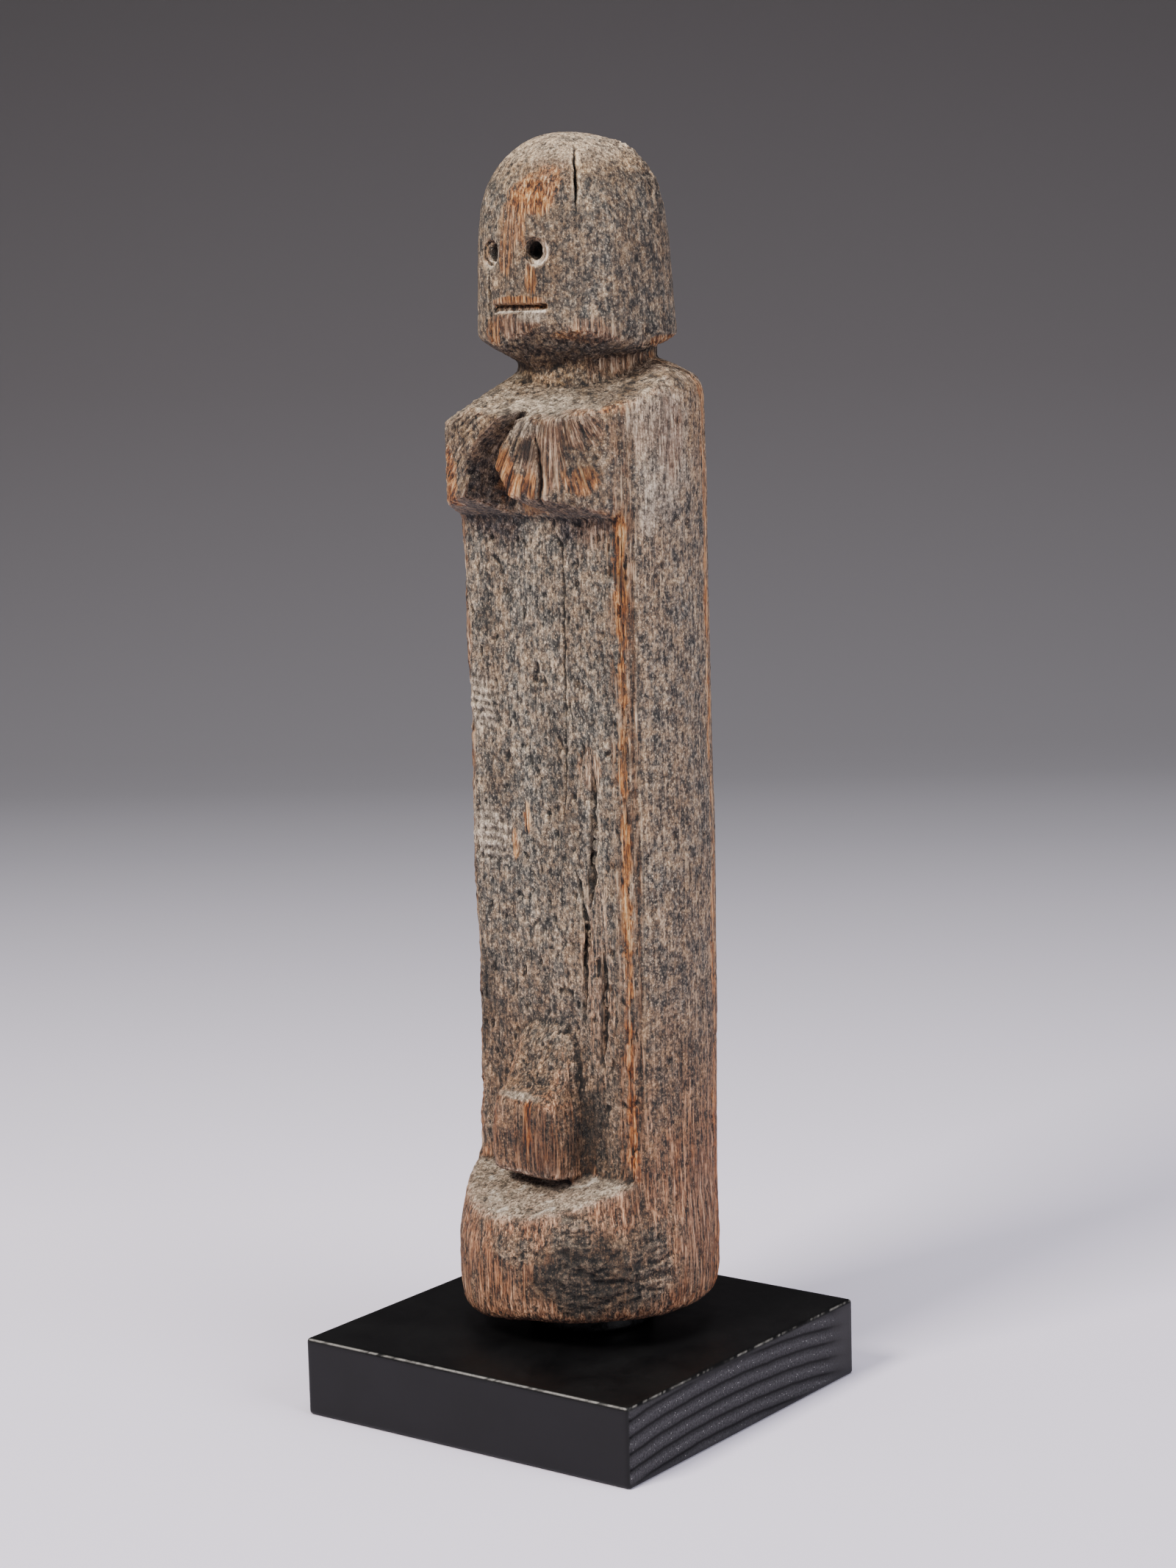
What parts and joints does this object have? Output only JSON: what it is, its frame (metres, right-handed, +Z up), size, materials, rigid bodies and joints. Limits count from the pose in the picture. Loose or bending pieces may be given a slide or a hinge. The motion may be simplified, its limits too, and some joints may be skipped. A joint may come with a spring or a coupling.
{
  "type": "dogon figure",
  "caption": "Carved wooden standing figure with a helmet-like head, breasts and a flat front panel, raised on a small square black plinth.",
  "frame": {"origin": "middle of the plinth's underside, where the part stands", "axes": "+Z up through the figure, -Y the way the figure looks, +X to the figure's left"},
  "size_m": [0.09, 0.09, 0.2861],
  "materials": {
    "weathered_wood": "weathered, with a dry grey crust over bare orange-brown grain",
    "spacer_black": "satin black paint",
    "black_paint": "satin black paint, dusty end grain on two faces"
  },
  "bodies": {
    "root": {"figure": "weathered_wood", "spacer": "spacer_black", "plinth": "black_paint"}
  },
  "joints": []
}
